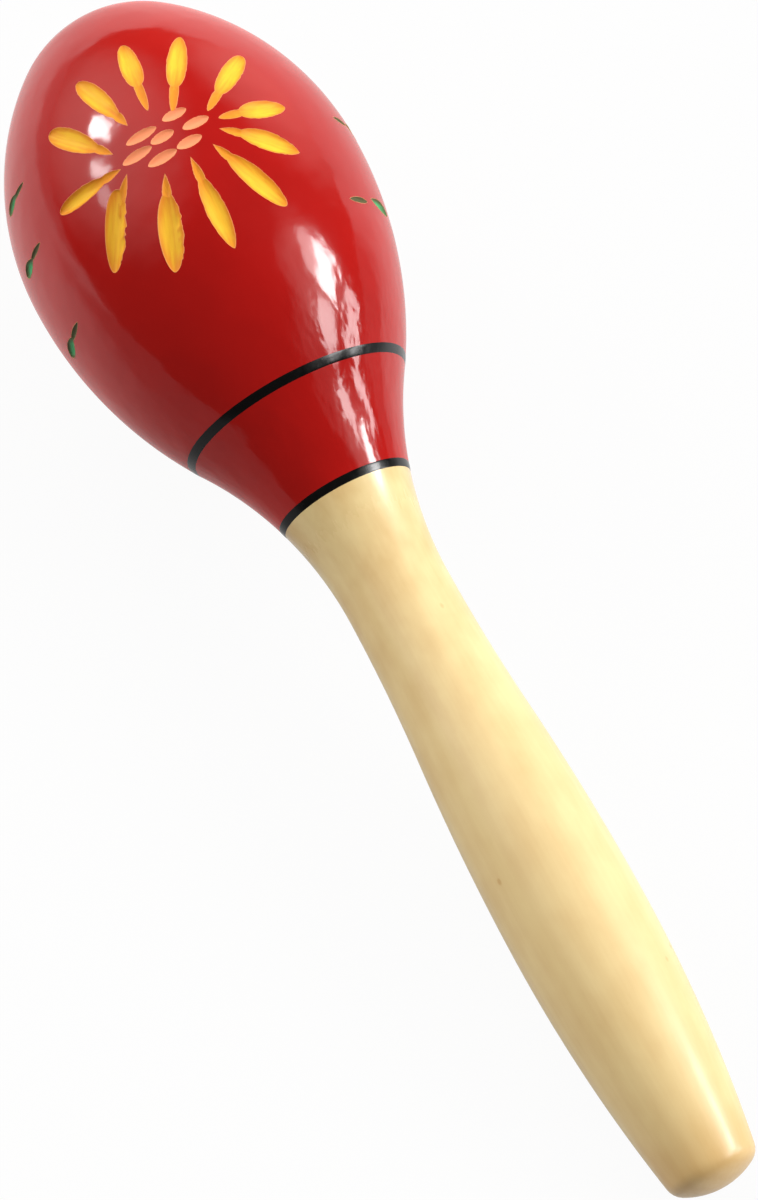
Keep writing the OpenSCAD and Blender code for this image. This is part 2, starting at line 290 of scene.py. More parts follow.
def turn_section(name, form, section, segments):
    """Draws a half section point by point and spins it round the maraca's axis."""
    start_piece()
    bpy.ops.mesh.primitive_plane_add(size=MM, location=(0, 0, 0))
    piece = bpy.context.object
    piece.name = piece.data.name = name
    bpy.ops.object.mode_set(mode="EDIT")
    bpy.ops.mesh.select_mode(type="VERT")
    bpy.ops.mesh.select_all(action="SELECT")
    bpy.ops.mesh.merge(type="CENTER")
    places = [lay(form, -r, 0, s) for r, s in section]
    bpy.ops.transform.translate(value=places[0])
    for before, place in zip(places, places[1:]):
        bpy.ops.mesh.extrude_region_move(TRANSFORM_OT_translate={"value": place - before})
    bpy.ops.mesh.select_all(action="SELECT")
    centre, axis = lay(form, 0, 0, 0), lay_way(form, 0, 0, 1)
    bpy.ops.mesh.spin(steps=segments, angle=2 * math.pi, center=centre, axis=axis)
    bpy.ops.mesh.select_all(action="SELECT")
    bpy.ops.mesh.remove_doubles(threshold=WELD)
    bpy.ops.mesh.normals_make_consistent(inside=False)
    bpy.ops.object.mode_set(mode="OBJECT")
    bpy.ops.object.shade_smooth_by_angle(angle=SHARP)
    return piece


def paint_faces(piece, materials, choose=lambda middle: 0):
    """Gives a piece its materials, and each face the one whose number choose returns for its middle."""
    piece.data.materials.clear()
    for material in materials:
        piece.data.materials.append(material)
    for face in piece.data.polygons:
        face.material_index = choose(face.center)


def finish_piece(piece, slot, *nodes):
    """Sets a piece on the maraca's body in place of its CAD nodes."""
    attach(piece, BODY)
    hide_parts(*nodes)


# Materials

def add_node(owner, kind, inputs=None, **choices):
    """Adds a shader node with its settings, and fills its sockets with values or links. A node stands for
    its first output. The numbered sockets of MapRange are the value, its span, and what the span becomes."""
    made = owner.node_tree.nodes.new("ShaderNode" + kind)
    for name, value in choices.items():
        setattr(made, name, value)
    for socket, value in (inputs or {}).items():
        if isinstance(value, bpy.types.Node):
            value = value.outputs[0]
        if isinstance(value, bpy.types.NodeSocket):
            owner.node_tree.links.new(value, made.inputs[socket])
        else:
            made.inputs[socket].default_value = value
    return made


def new_material(name):
    """An empty material, and the function that adds its nodes."""
    material = bpy.data.materials.get(name) or bpy.data.materials.new(name)
    material.use_nodes = True
    material.node_tree.nodes.clear()
    return material, partial(add_node, material)


def red_lacquer(colours, form):
    """Dipped gloss lacquer: deep colour and a mirror-like skin, gathered in long runs toward the neck."""
    material, node = new_material("red_lacquer")
    where = node("TexCoord").outputs["Object"]
    along = node("Mapping", {"Vector": where, "Rotation": (0, -form.tilt, 0)})
    cloud = node("TexNoise", {"Vector": where, "Scale": 1 / (14 * MM), "Detail": 2.0})
    shade = node("MapRange", {0: cloud, 1: 0.3, 2: 0.7, 3: 0.92, 4: 1.03})
    tint = node("HueSaturation", {"Color": colours.lacquer, "Value": shade})
    peel = node("TexNoise", {"Vector": where, "Scale": 1 / (1.3 * MM), "Detail": 2.0})
    sag = node("TexNoise", {"Vector": where, "Scale": 1 / (5 * MM), "Detail": 1.0})
    run_space = node("Mapping", {"Vector": along, "Scale": (0.28, 1, 1)})
    runs = node("TexNoise", {"Vector": run_space, "Scale": 1 / (2.6 * MM), "Detail": 2.0})
    reach = node("SeparateXYZ", {0: along})
    tip_side, neck_side = (axis_start(form) - form.seam_up - d * MM for d in (20, 3))
    gather = node("MapRange", {0: reach, 1: tip_side, 2: neck_side, 3: 0.08, 4: 1.0})
    fine = node("Bump", {"Height": peel, "Strength": 1.0, "Distance": 0.01 * MM})
    wavy = node("Bump", {"Height": sag, "Strength": 1.0, "Distance": 0.12 * MM, "Normal": fine})
    ripple = node("Bump", {"Height": runs, "Strength": gather, "Distance": 0.11 * MM, "Normal": wavy})
    shader = node("BsdfPrincipled", {
        "Base Color": tint, "Roughness": 0.12, "IOR": 1.5, "Coat Weight": 0.1, "Coat Roughness": 0.03,
        "Sheen Weight": 0.5, "Sheen Roughness": 0.5, "Sheen Tint": linear("FF5040"),
        "Normal": ripple, "Coat Normal": ripple})
    node("OutputMaterial", {"Surface": shader})
    return material


def turned_wood(name, colours, form, varnish):
    """Pale close-grained wood off the lathe: faint fibres and growth lines, few flecks, and painted shade
    that darkens the domed end.
    Next to the lower ring it is more clouded, and glossier where lacquer was wiped over it. The fibres are
    drawn 0.7 mm wide, coarser than they are, so that they show."""
    material, node = new_material(name)
    where = node("TexCoord").outputs["Object"]
    along = node("Mapping", {"Vector": where, "Rotation": (0, -form.tilt, 0)})
    grown = node("Mapping", {"Vector": along, "Location": (0, 34 * MM, 12 * MM)})
    ring_scale = math.pi / 10 / (3.2 * MM)
    growth = node("TexWave", {
        "Vector": grown, "Scale": ring_scale, "Distortion": 2.5, "Detail": 2.0, "Detail Scale": 0.6},
        wave_type="RINGS", rings_direction="X").outputs["Fac"]
    fibre_space = node("Mapping", {"Vector": along, "Scale": (0.04, 1, 1)})
    fibre = node("TexNoise", {"Vector": fibre_space, "Scale": 1 / (0.7 * MM), "Detail": 4.0})
    cloud_space = node("Mapping", {"Vector": along, "Scale": (0.7, 1, 1)})
    cloud = node("TexNoise", {"Vector": cloud_space, "Scale": 1 / (6 * MM), "Detail": 3.0})
    lines = node("Math", {0: growth, 1: 0.1}, operation="MULTIPLY")
    hairs = node("Math", {0: fibre, 1: 0.25, 2: lines}, operation="MULTIPLY_ADD")
    mottle = node("MapRange", {0: cloud, 1: 0.35, 2: 0.7, 3: -0.15, 4: 0.6})
    reach = node("SeparateXYZ", {0: along})
    ring_side, bare_side, grip_side = (axis_start(form) - form.seam_low + d * MM for d in (0, 12, 50))
    calm = node("MapRange", {0: reach, 1: ring_side, 2: grip_side, 3: 1.0, 4: 0.4})
    clouded = node("Math", {0: mottle, 1: calm, 2: hairs}, operation="MULTIPLY_ADD")
    fleck = node("TexVoronoi", {"Vector": cloud_space, "Scale": 1 / (8 * MM)})
    speck = node("MapRange", {0: fleck, 1: 0.02, 2: 0.06, 3: 0.8, 4: 0.0})
    # Painted shade: the wood colour darkens toward the domed end, in place of the shade that falls there
    end_side, end_top = (axis_start(form) - d * MM for d in (16, 2))
    end_shade = node("MapRange", {0: reach, 1: end_side, 2: end_top, 3: 0.0, 4: 0.7},
                     interpolation_type="SMOOTHSTEP")
    end_shaded = node("Math", {0: clouded, 1: end_shade}, operation="ADD")
    amount = node("Math", {0: end_shaded, 1: speck}, operation="ADD")
    tone = node("Mix", {0: amount, 6: colours.wood, 7: colours.wood_dark},
                data_type="RGBA", clamp_factor=True).outputs[2]
    gloss = node("MapRange", {0: fibre, 1: 0.3, 2: 0.7, 3: 0.36, 4: 0.48})
    wiped = node("MapRange", {0: reach, 1: ring_side, 2: bare_side, 3: 0.26, 4: 0.0},
                 interpolation_type="SMOOTHSTEP")
    satin = node("Math", {0: gloss, 1: wiped}, operation="SUBTRACT")
    raised = node("Bump", {"Height": fibre, "Strength": 1.0, "Distance": 0.012 * MM})
    shader = node("BsdfPrincipled", {
        "Base Color": tone, "Roughness": satin, "IOR": 1.45, "Coat Weight": varnish, "Coat Roughness": 0.26,
        "Normal": raised})
    node("OutputMaterial", {"Surface": shader})
    return material


def black_enamel(colours):
    """Brushed gloss enamel: near black, with the soft unevenness of one brush pass."""
    material, node = new_material("black_enamel")
    where = node("TexCoord").outputs["Object"]
    brush = node("TexNoise", {"Vector": where, "Scale": 1 / (1.1 * MM), "Detail": 2.0})
    gloss = node("MapRange", {0: brush, 1: 0.3, 2: 0.7, 3: 0.14, 4: 0.28})
    wavy = node("Bump", {"Height": brush, "Strength": 1.0, "Distance": 0.012 * MM})
    shader = node("BsdfPrincipled", {
        "Base Color": colours.ring, "Roughness": gloss, "IOR": 1.5, "Normal": wavy})
    node("OutputMaterial", {"Surface": shader})
    return material


def stroke_enamel(name, colours, middle, edge):
    """Brushed matt enamel in a gouged stroke: full in the middle, thin toward the root, tip and edge, with a
    bare rim. Attributes hold the share along the stroke, aside and depth in mm, and the stalk and number."""
    material, node = new_material(name)
    where = node("TexCoord").outputs["Object"]
    stroke = node("Attribute", attribute_name="stroke").outputs["Vector"]
    along, aside, depth = node("SeparateXYZ", {0: stroke}).outputs
    mark = node("Attribute", attribute_name="mark").outputs["Vector"]
    on_stalk, number, _ = node("SeparateXYZ", {0: mark}).outputs
    far = node("Math", {0: along, 1: 2.5}, operation="MULTIPLY")
    wide = node("Math", {0: aside, 1: 1 / 0.5}, operation="MULTIPLY")
    hair_space = node("CombineXYZ", {0: far, 1: wide, 2: number})
    hairs = node("TexNoise", {"Vector": hair_space, "Scale": 1.0, "Detail": 3.0})
    uneven = node("MapRange", {0: hairs, 1: 0.25, 2: 0.75, 3: -0.4, 4: 0.35})
    load = node("MapRange", {0: depth, 1: 0.04, 2: 0.6}, interpolation_type="SMOOTHSTEP")
    laden = node("MapRange", {0: along, 1: 0.0, 2: 0.45, 3: 0.15, 4: 1.0})
    spent = node("MapRange", {0: along, 1: 0.7, 2: 1.0, 3: 1.0, 4: 0.35})
    brushed = node("Math", {0: laden, 1: spent}, operation="MULTIPLY")
    paint = node("Math", {0: load, 1: brushed, 2: uneven}, operation="MULTIPLY_ADD")
    blade = node("Mix", {0: paint, 6: edge, 7: middle}, data_type="RGBA", clamp_factor=True).outputs[2]
    body = node("Mix", {0: on_stalk, 6: blade, 7: edge}, data_type="RGBA").outputs[2]
    bare = node("MapRange", {0: depth, 1: 0.0, 2: 0.1, 3: 0.7, 4: 0.0})
    tone = node("Mix", {0: bare, 6: body, 7: colours.rim}, data_type="RGBA").outputs[2]
    brush = node("TexNoise", {"Vector": where, "Scale": 1 / (0.8 * MM), "Detail": 3.0})
    gloss = node("MapRange", {0: brush, 1: 0.3, 2: 0.7, 3: 0.5, 4: 0.7})
    marks = node("Bump", {"Height": hairs, "Strength": 1.0, "Distance": 0.06 * MM})
    shader = node("BsdfPrincipled", {"Base Color": tone, "Roughness": gloss, "IOR": 1.36, "Normal": marks})
    node("OutputMaterial", {"Surface": shader})
    return material


def steel_shot(colours):
    """Polished steel shot with the fine scuffs that rattling leaves."""
    material, node = new_material("steel_shot")
    where = node("TexCoord").outputs["Object"]
    scuff = node("TexNoise", {"Vector": where, "Scale": 1 / (0.6 * MM), "Detail": 5.0})
    gloss = node("MapRange", {0: scuff, 1: 0.3, 2: 0.7, 3: 0.12, 4: 0.32})
    shader = node("BsdfPrincipled", {"Base Color": colours.shot, "Metallic": 1.0, "Roughness": gloss})
    node("OutputMaterial", {"Surface": shader})
    return material


# Painted shade on the table, seen only in gloss: the maraca's shadow beside it and the unlit far sides;
# spans along and across the table in mm, and depth
GLOSS_TABLE_SHADE = (
    ((-110, -10), (20, -45), 0.75), ((-200, -100), (-90, -290), 0.7), ((-250, -330), (-60, -120), 0.6),
    ((-80, 10), (75, 170), 1.0),
)
DIMMEST = 0.16
# Brightness of the table in gloss where nothing dims it, and how much of that the camera and gloss see
PAPER = 0.95
SEEN, MIRRORED = 0.95, 0.8


def white_table(colours):
    """Matt white table top: white as paper with a soft cast shadow, and, seen only in gloss, painted shade
    where the maraca's shadow and the unlit sides of the room lie.
    """
    material, node = new_material("white_table")
    where = node("TexCoord").outputs["Object"]
    cloud = node("TexNoise", {"Vector": where, "Scale": 1 / (120 * MM), "Detail": 2.0})
    shade = node("MapRange", {0: cloud, 1: 0.3, 2: 0.7, 3: 0.985, 4: 1.0})
    tint = node("HueSaturation", {"Color": colours.table, "Value": shade})
    shader = node("BsdfPrincipled", {"Base Color": tint, "Roughness": 0.6, "IOR": 1.4})
    place = node("SeparateXYZ", {0: where}).outputs
    bright = PAPER
    # Painted shade and shadow: the table's brightness in gloss is lowered in these patches
    for *spans, dark in GLOSS_TABLE_SHADE:
        for side, (clear, full) in zip(place, spans):
            reach = node("MapRange", {0: side, 1: clear * MM, 2: full * MM},
                         interpolation_type="SMOOTHSTEP")
            dark = node("Math", {0: reach, 1: dark}, operation="MULTIPLY")
        bright = node("Math", {0: bright, 1: dark}, operation="SUBTRACT")
    rays = node("LightPath").outputs
    for least in (DIMMEST, rays["Is Camera Ray"]):
        bright = node("Math", {0: bright, 1: least}, operation="MAXIMUM")
    seen = node("Math", {0: rays["Is Camera Ray"], 1: SEEN}, operation="MULTIPLY")
    for ray in ("Is Glossy Ray", "Is Transmission Ray"):
        seen = node("Math", {0: rays[ray], 1: MIRRORED, 2: seen}, operation="MULTIPLY_ADD")
    paper = node("Emission", {"Color": linear("FFFFFF"), "Strength": bright})
    both = node("MixShader", {0: seen, 1: shader, 2: paper})
    node("OutputMaterial", {"Surface": both})
    return material


def lacquer_outside(piece, colours, form, z):
    """Lacquers the outside of a piece, and leaves the wood bare deeper than half a ring's groove."""
    def choose(middle):
        place = unlay(form, middle)
        return 0 if math.hypot(place.x, place.y) > radius_at(form, place.z) - z.ring_depth / 2 else 1
    finishes = [red_lacquer(colours, form), turned_wood("bare_wood", colours, form, 0.0)]
    paint_faces(piece, finishes, choose)


# Strokes of the carving

Stroke = namedtuple("Stroke", "kind start end width depth inner outer stalk chip chip_side")

# Petals as carved by hand: direction of the tip and its share of the reach, root toward the tip and round
# the head in mm, share of the length that the blade takes, width of the blade in mm, how blunt the blade is
# at its inner and outer end, from 1 for a point to 0 for a square end, and how far its edge is chipped in mm
# and on which side
PETALS = (
    (4.5, 1.02, 6.4, -0.1, 0.66, 3.4, 0.35, 0.50, 0.06, 0),
    (30.3, 1.00, 4.0, 3.0, 0.70, 3.3, 0.40, 0.55, 0.06, 0),
    (61, 1.03, 2.0, 8.0, 0.73, 3.3, 0.42, 0.45, 0.06, 0),
    (92.5, 1.00, 0.2, 9.0, 0.72, 3.4, 0.50, 0.60, 0.06, 0),
    (115.5, 1.00, -1.5, 8.2, 0.80, 3.6, 0.75, 0.75, 0.08, 0),
    (144, 0.98, -3.5, 6.1, 0.83, 3.6, 0.62, 0.55, 0.08, 0),
    (175.7, 0.94, -3.9, 2.1, 0.80, 3.3, 0.70, 0.70, 0.08, 0),
    (204, 0.96, -4.4, -2.5, 0.82, 4.1, 0.62, 0.60, 0.30, -1),
    (233, 1.02, -2.6, -10.0, 1.00, 3.8, 0.40, 0.50, 0.30, -1),
    (271, 0.99, -0.1, -8.0, 0.80, 2.7, 0.60, 0.50, 0.06, 0),
    (310.5, 0.98, 2.7, -8.0, 0.82, 3.7, 0.65, 0.45, 0.06, 0),
    (338.6, 0.96, 5.7, -3.9, 0.85, 3.4, 0.65, 0.50, 0.06, 0),
)
STALK_OVERLAP = 0.1
# Share of the blade past which the stalk is short and starts in a point
SHORT_STALK = 0.75
# A sliver beside the blade of one petal, from its root to its end, in mm
SLIVER = ((-1.3, -7.6), (-6.4, -12.2))
# Strokes of the heart: middle toward the tip and round the head, and length, in mm
STAMENS = (
    (3.7, 3.1, 4.1), (0.9, 5.4, 4.5), (3.0, -2.9, 5.3), (1.1, -0.2, 4.0),
    (-1.6, 3.1, 4.3), (0.4, -4.9, 5.2), (-2.0, -1.7, 5.0),
)
# Leaves at the sides: start of the stalk, start and end of the leaf, toward the tip and round the head in mm
LEAVES = (
    ((10.2, -24.9), (10.0, -28.0), (9.2, -33.8)), ((-0.3, -27.7), (-0.8, -31.6), (-1.2, -37.4)),
    ((-13.9, -29.2), (-14.4, -33.0), (-15.4, -38.6)), ((-2.5, 32.4), (-2.6, 37.4), (-3.6, 43.4)),
    ((-17.4, 24.7), (-17.0, 31.3), (-18.3, 38.2)),
)
STALK_LEN = 4.9
PETAL, STAMEN, LEAF = "petal", "stamen", "leaf"
# How blunt the other strokes are at their two ends, as for a blade
STALK_ENDS, SHORT_STALK_ENDS, SLIVER_ENDS = (0.6, 0.4), (1.0, 0.4), (1.0, 0.8)
STAMEN_ENDS, LEAF_STALK_ENDS, LEAF_ENDS = (0.6, 0.6), (0.7, 0.6), (0.9, 0.6)
# Depth of the other strokes as a share of a petal's, and how far their edges are chipped in mm
STALK_BITE, STAMEN_BITE, LEAF_BITE = 0.5, 0.7, 0.8
STALK_CHIP, SHORT_CHIP = 0.05, 0.06
# How far a stamen rises toward the tip on either side of its middle, in mm
STAMEN_SLANT = 0.1


def strokes_of(z):
    """Every stroke of the carving, with its ends given from the heart, toward the tip and round the head."""
    strokes = []
    shallow = z.bite * STALK_BITE
    for tip_way, share, root_up, root_round, blade, width, inner, outer, chip, side in PETALS:
        way = math.radians(tip_way)
        tip = z.petal_reach * share * Vector((math.cos(way), math.sin(way)))
        root = MM * Vector((root_up, root_round))
        start = tip.lerp(root, blade)
        strokes.append(Stroke(PETAL, start, tip, width * MM, z.bite, inner, outer, 0, chip, side))
        if blade < 1:
            end = tip.lerp(root, blade - STALK_OVERLAP)
            ends = SHORT_STALK_ENDS if blade > SHORT_STALK else STALK_ENDS
            strokes.append(Stroke(PETAL, root, end, z.stalk_w, shallow, *ends, 1, STALK_CHIP, 0))
    start, end = (MM * Vector(place) for place in SLIVER)
    strokes.append(Stroke(PETAL, start, end, z.stalk_w, shallow, *SLIVER_ENDS, 1, STALK_CHIP, 0))
    for up, around, long in STAMENS:
        middle, half = MM * Vector((up, around)), MM * Vector((STAMEN_SLANT, long / 2))
        ends = middle - half, middle + half
        strokes.append(Stroke(
            STAMEN, *ends, z.stamen_w, z.bite * STAMEN_BITE, *STAMEN_ENDS, 0, SHORT_CHIP, 0))
    for stalk, leaf, tip in (tuple(MM * Vector(place) for place in row) for row in LEAVES):
        end = stalk + STALK_LEN * MM * (tip - stalk).normalized()
        strokes += [
            Stroke(LEAF, stalk, end, z.leaf_stalk_w, shallow, *LEAF_STALK_ENDS, 1, STALK_CHIP, 0),
            Stroke(LEAF, leaf, tip, z.leaf_w, z.bite * LEAF_BITE, *LEAF_ENDS, 0, SHORT_CHIP, 0),
        ]
    return strokes


def head_arcs(form):
    """Flank, shoulder and crown of the head, and the turn at which the shoulder becomes the crown."""
    side, shoulder, crown = form.arcs[-3:]
    return side, shoulder, crown, math.asin((shoulder.high - shoulder.centre_y) / shoulder.radius)


def on_head(form, z, at):
    """Place on the head and its outward direction, in terms of the axis, of a place given from the heart."""
    t = z.flower_up + at[0]
    side, shoulder, crown, shoulder_turn = head_arcs(form)
    if t < 0:
        arc, lean = side, t / side.radius
    elif t < shoulder.radius * shoulder_turn:
        arc, lean = shoulder, t / shoulder.radius
    else:
        arc, lean = crown, shoulder_turn + (t - shoulder.radius * shoulder_turn) / crown.radius
    girth = arc.centre_r + arc.radius * math.cos(lean)
    turn = z.flower_turn + at[1] / girth
    height = arc.centre_y + arc.radius * math.sin(lean)
    place = Vector((girth * math.cos(turn), girth * math.sin(turn), height))
    out = Vector((math.cos(lean) * math.cos(turn), math.cos(lean) * math.sin(turn), math.sin(lean)))
    return place, out


def from_heart(form, z, place):
    """Distance from the heart toward the tip and round the head, of a place in terms of the axis."""
    side, shoulder, crown, shoulder_turn = head_arcs(form)
    girth = math.hypot(place.x, place.y)
    if place.z < side.centre_y:
        t = side.radius * math.atan2(place.z - side.centre_y, girth - side.centre_r)
    elif place.z < shoulder.high:
        t = shoulder.radius * math.atan2(place.z - shoulder.centre_y, girth - shoulder.centre_r)
    else:
        lean = math.atan2(place.z - crown.centre_y, girth)
        t = shoulder.radius * shoulder_turn + crown.radius * (lean - shoulder_turn)
    turn = math.atan2(place.y, place.x) - z.flower_turn
    return Vector((t - z.flower_up, turn * radius_at(form, place.z)))


GOUGE_SIDES = 32
GOUGE_STEPS = 26
# Share of a stroke at which its first disc stands, share from there to its last disc, and size of the
# smallest disc beside the largest
GOUGE_FIRST, GOUGE_RUN = 0.002, 0.996
GOUGE_LEAST = 0.012
# Shares of a stroke between which its edge is chipped
CHIP_FROM, CHIP_TO = 0.15, 0.88
# How far apart the brush marks of two strokes lie in their pattern
MARK_STEP = 3.7


def swell(share, inner, outer):
    """How wide a stroke is at a share of its length, beside its widest place."""
    peak = inner / (inner + outer)
    return (share / peak) ** inner * ((1 - share) / (1 - peak)) ** outer


def gouge_cutter(form, z, stroke, seed):
    """Solid that a round gouge takes out: a disc drawn along, deeper and wider, and then out again."""
    p, _ = on_head(form, z, stroke.start)
    q, _ = on_head(form, z, stroke.end)
    _, lift = on_head(form, z, (stroke.start + stroke.end) / 2)
    along = (q - p).normalized()
    out = (lift - lift.dot(along) * along).normalized()
    across = along.cross(out)
    sweep = (stroke.width ** 2 / 4 + stroke.depth ** 2) / (2 * stroke.depth)
    stations = []
    for k in range(GOUGE_STEPS + 1):
        share = GOUGE_FIRST + GOUGE_RUN * (1 - math.cos(math.pi * k / GOUGE_STEPS)) / 2
        size = max(GOUGE_LEAST, swell(share, stroke.inner, stroke.outer))
        crest, _ = on_head(form, z, stroke.start.lerp(stroke.end, share))
        stations.append((lay(form, *(crest + size * (sweep - stroke.depth) * out)), size))
    start_piece()
    bpy.ops.mesh.primitive_circle_add(
        vertices=GOUGE_SIDES, radius=sweep * stations[0][1], fill_type="NGON", location=stations[0][0],
        rotation=facing(lay_way(form, *along)))
    cutter = bpy.context.object
    bpy.ops.object.transform_apply(location=True, rotation=True, scale=True)
    bpy.ops.object.mode_set(mode="EDIT")
    bpy.ops.mesh.select_mode(type="FACE")
    bpy.ops.mesh.select_all(action="SELECT")
    for (before, old), (place, size) in zip(stations, stations[1:]):
        bpy.ops.mesh.extrude_region_move(TRANSFORM_OT_translate={"value": place - before})
        bpy.ops.transform.resize(value=(size / old,) * 3, center_override=place)
    bpy.ops.mesh.select_mode(type="VERT")
    bpy.ops.mesh.select_all(action="SELECT")
    bpy.ops.mesh.normals_make_consistent(inside=False)
    bpy.ops.mesh.select_all(action="DESELECT")
    bpy.ops.object.mode_set(mode="OBJECT")
    for vertex in cutter.data.vertices:
        off = unlay(form, vertex.co) - p
        inside = CHIP_FROM < off.dot(along) / (q - p).length < CHIP_TO
        least = abs(stroke.chip_side) * stroke.width / 4
        vertex.select = inside and stroke.chip_side * off.dot(across) >= least
    bpy.ops.object.mode_set(mode="EDIT")
    bpy.ops.transform.vertex_random(offset=stroke.chip * MM, normal=0.0, seed=seed)
    bpy.ops.object.mode_set(mode="OBJECT")
    return cutter


def carve(head, cutters):
    """Cuts a group of gouge strokes that don't meet each other into the head."""
    pick(*cutters)
    bpy.ops.object.join()
    joined = bpy.context.object
    pick(head)
    cut = head.modifiers.new("carve", "BOOLEAN")
    cut.object = joined
    cut.operation = "DIFFERENCE"
    cut.solver = "EXACT"
    cut.material_mode = "TRANSFER"
    bpy.ops.object.modifier_apply(modifier=cut.name)
    bpy.data.objects.remove(joined)


def select_painted(head, *materials):
    """Goes to edit mode with just the faces of these materials selected."""
    pick(head)
    bpy.ops.object.mode_set(mode="EDIT")
    bpy.ops.mesh.select_mode(type="FACE")
    bpy.ops.mesh.select_all(action="DESELECT")
    for material in materials:
        head.active_material_index = head.data.materials.find(material.name)
        bpy.ops.object.material_slot_select()


def lift_paint(head, material, name):
    """Copies the faces of one colour off the carved head, as the film of enamel that lies on them."""
    select_painted(head, material)
    bpy.ops.mesh.duplicate()
    bpy.ops.mesh.separate(type="SELECTED")
    bpy.ops.object.mode_set(mode="OBJECT")
    film = [o for o in bpy.context.selected_objects if o is not head][0]
    film.name = film.data.name = name
    paint_faces(film, [material])
    return film


def note_strokes(film, form, z, strokes):
    """Writes the share along, aside and depth in mm as stroke, and the stalk and number as mark."""
    places, marks = [], []
    for vertex in film.data.vertices:
        place = unlay(form, vertex.co)
        at = from_heart(form, z, place)
        best = None
        for number, stroke in enumerate(strokes):
            ahead = stroke.end - stroke.start
            share = (at - stroke.start).dot(ahead) / ahead.length_squared
            nearest = stroke.start + max(0, min(1, share)) * ahead
            off = (at - nearest).length / stroke.width
            if best is None or off < best[0]:
                aside = (at - stroke.start).cross(ahead) / ahead.length / MM
                best = (off, share, aside, stroke.stalk, number)
        depth = (radius_at(form, place.z) - math.hypot(place.x, place.y)) / MM
        places += [best[1], best[2], depth]
        marks += [best[3], best[4] * MARK_STEP, 0]
    for name, values in (("stroke", places), ("mark", marks)):
        attribute = film.data.attributes.new(name, "FLOAT_VECTOR", "POINT")
        attribute.data.foreach_set("vector", values)


def thicken(film, thickness):
    """Gives a film of enamel its thickness, outwards from the wood."""
    pick(film)
    solid = film.modifiers.new("film", "SOLIDIFY")
    solid.thickness = thickness
    solid.offset = 1
    bpy.ops.object.modifier_apply(modifier=solid.name)
    bpy.ops.object.shade_smooth_by_angle(angle=FILM_SHARP)


# Operators

# CAD node and material slot of each kind of stroke
STROKE_NODES = {
    PETAL: ("flower_petals", "yellow_enamel"),
    STAMEN: ("flower_stamens", "orange_enamel"),
    LEAF: ("leaf_strokes", "green_enamel"),
}
HANDLE_VARNISH = 0.5
RING_STEPS = 10
# The larger this power, the flatter the crown of a ring
RING_FLATNESS = 4


def settings(context):
    """Sizes, colours, stage and form that the operators work from."""
    scene = context.scene
    return scene.maraca_sizes, scene.maraca_colours, scene.maraca_stage, form_of(scene.maraca_sizes)


class MARACA_OT_head(bpy.types.Operator):
    """Turn the hollow head, carve its flower and leaves, and paint the cuts"""
    bl_idname = "maraca.head"
    bl_label = "Head and carving"

    def execute(self, context):
        z, colours, stage, form = settings(context)
        seam, half = form.seam_up, z.ring_w / 2
        groove = radius_at(form, seam) - z.ring_depth
        mouth = radius_at(form, seam) - z.lip
        top_in = radius_at(form, form.floor, z.wall)
        outside = run(form, seam + half, form.total, stage.row)[::-1]
        inside = run(form, form.floor, form.total - z.wall, 2 * stage.row, z.wall)
        corners = [(groove, seam + half), (groove, seam), (mouth, seam), (mouth, form.floor)]
        hollow = chain([*corners[2:], (top_in, form.floor)], 2 * stage.row)[1:-1]
        section = outside + chain(corners[:3], stage.row) + hollow + inside
        head = turn_section("head_shell_lacquered", form, section, stage.segments)
        lacquer_outside(head, colours, form, z)
        paints = {
            PETAL: stroke_enamel("petal_enamel", colours, colours.petal, colours.petal_edge),
            STAMEN: stroke_enamel("stamen_enamel", colours, colours.stamen, colours.stamen),
            LEAF: stroke_enamel("leaf_enamel", colours, colours.leaf, colours.leaf_stalk),
        }
        strokes = strokes_of(z)
        groups = (lambda s: s.kind != STAMEN and not s.stalk, lambda s: s.stalk, lambda s: s.kind == STAMEN)
        for group in groups:
            cutters = []
            for seed, stroke in enumerate(strokes):
                if group(stroke):
                    cutter = gouge_cutter(form, z, stroke, seed)
                    cutter.data.materials.append(paints[stroke.kind])
                    cutters.append(cutter)
            carve(head, cutters)
        for kind, (node, slot) in STROKE_NODES.items():
            film = lift_paint(head, paints[kind], node + "_enamel")
            note_strokes(film, form, z, [s for s in strokes if s.kind == kind])
            thicken(film, z.film)
            finish_piece(film, slot, node)
        select_painted(head, *paints.values())
        bpy.ops.mesh.region_to_loop()
        bpy.ops.mesh.mark_sharp()
        bpy.ops.object.mode_set(mode="OBJECT")
        finish_piece(head, "red_lacquered_wood", "head_shell")
        return {"FINISHED"}


class MARACA_OT_collar(bpy.types.Operator):
    """Turn the lacquered collar with its spigot and bore"""
    bl_idname = "maraca.collar"
    bl_label = "Neck collar"

    def execute(self, context):
        z, colours, stage, form = settings(context)
        half = z.ring_w / 2
        low, high = form.seam_low, form.seam_up
        bore = z.tenon_d / 2 + z.glue_gap
        spigot = radius_at(form, high) - z.lip - z.glue_gap
        low_groove, high_groove = (radius_at(form, s) - z.ring_depth for s in (low, high))
        end = form.floor - z.glue_gap
        outside = run(form, low + half, high - half, stage.row)
        corners = [(high_groove, high - half), (high_groove, high), (spigot, high), (spigot, end)]
        corners += [(bore, end), (bore, low), (low_groove, low), (low_groove, low + half)]
        section = outside + chain(corners, 2 * stage.row) + outside[:1]
        collar = turn_section("neck_collar_lacquered", form, section, stage.segments)
        lacquer_outside(collar, colours, form, z)
        finish_piece(collar, "red_lacquered_wood", "neck_collar")
        return {"FINISHED"}


